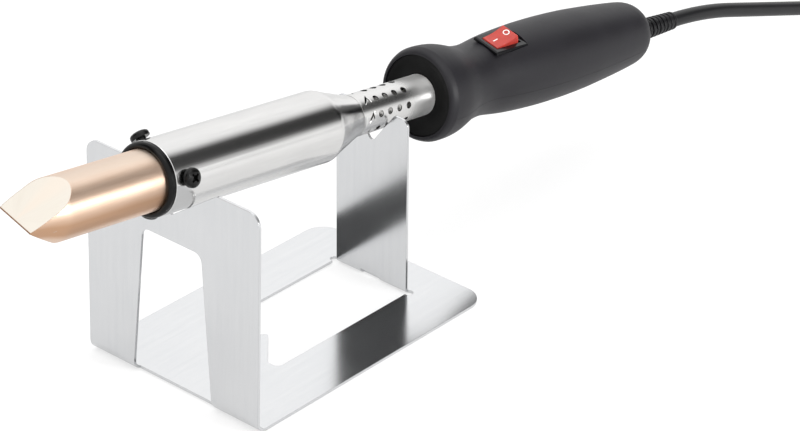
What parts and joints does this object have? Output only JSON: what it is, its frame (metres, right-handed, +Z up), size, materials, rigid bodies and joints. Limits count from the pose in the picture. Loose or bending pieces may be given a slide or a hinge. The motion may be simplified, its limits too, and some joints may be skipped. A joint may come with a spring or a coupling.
{
  "type": "soldering iron stand with iron",
  "caption": "Bench stand bent from one steel sheet with notched front and rear cradles, holding a high-power soldering iron with a rocker switch in its handle.",
  "frame": {"origin": "on the underside of the stand's base, on its centreline, in the middle of the solid strip behind the front cradle", "axes": "+X across the stand, +Y from the iron's bit to its cable, +Z up"},
  "size_m": [0.0934, 0.5191, 0.1197],
  "materials": {
    "galvanised_sheet": "satin, finely brushed along the height",
    "copper": "satin turned copper, pale pink",
    "black_ring": "glossy black",
    "black_screw": "black oxide, semi-gloss",
    "barrel_steel": "satin, polished lengthwise",
    "core_steel": "plain",
    "mica": null,
    "ceramic_white": "unglazed steatite",
    "heater_wire": "resistance ribbon",
    "lead_nickel": "nickel lead",
    "wire_brown": "insulated wire",
    "wire_earth": "insulated wire, green and yellow",
    "zinc_screw": "zinc plated",
    "handle_plastic": "fine grain, soft satin",
    "switch_black": "satin",
    "rocker_red": "satin gloss, slightly translucent",
    "contact_brass": "stamped",
    "block_white": "nylon",
    "cable_sheath": "smooth satin",
    "boot_rubber": "satin"
  },
  "bodies": {
    "stand": {"stand_plate": "galvanised_sheet"},
    "iron": {"mouth_ring": "black_ring", "bit_clamp_screws": "black_screw", "barrel": "barrel_steel", "neck_tube": "barrel_steel", "heater_core_tube": "core_steel", "mica_inner_sleeve": "mica", "mica_outer_sleeve": "mica", "front_spacer_ring": "ceramic_white", "rear_insulator_disc": "ceramic_white", "heater_winding": "heater_wire", "lead_insulators": "ceramic_white", "neutral_lead": "lead_nickel", "live_lead": "lead_nickel", "switch_feed_wire": "wire_brown", "earth_lead": "wire_earth", "earth_screw": "zinc_screw", "handle_screws": "zinc_screw", "handle_upper_shell": "handle_plastic", "handle_lower_shell": "handle_plastic", "handle_front_disc": "handle_plastic", "switch_housing": "switch_black", "switch_terminals": "contact_brass", "terminal_block": "block_white", "terminal_tubes": "contact_brass", "terminal_screws": "zinc_screw", "cable_cores": "wire_brown", "cable_clamp": "block_white", "cable_clamp_screws": "zinc_screw", "mains_cable": "cable_sheath", "cable_boot": "boot_rubber"},
    "bit": {"copper_bit": "copper"},
    "rocker": {"switch_rocker": "rocker_red"},
    "contact": {"switch_contact": "contact_brass"}
  },
  "joints": [
    {"name": "iron_lift", "type": "slide", "parent": "stand", "child": "iron", "axis": [0, 0, 1], "range_m": [0, 0.12]},
    {"name": "bit_slide", "type": "slide", "parent": "iron", "child": "bit", "axis": [0.0046, -0.988, 0.1543], "range_m": [0, 0.08]},
    {"name": "power_rocker", "type": "hinge", "parent": "iron", "child": "rocker", "pos_m": [0.00218, 0.17438, 0.0806], "axis": [-0.9715, 0.0321, 0.2347], "range_deg": [0, 36]},
    {"name": "contact_rock", "type": "hinge", "parent": "iron", "child": "contact", "pos_m": [0.00048, 0.17323, 0.07369], "axis": [-0.9715, 0.0321, 0.2347], "range_deg": [-12, 0]}
  ],
  "couplings": [
    {"joint": "contact_rock", "follows": "power_rocker", "ratio": -0.33333}
  ]
}
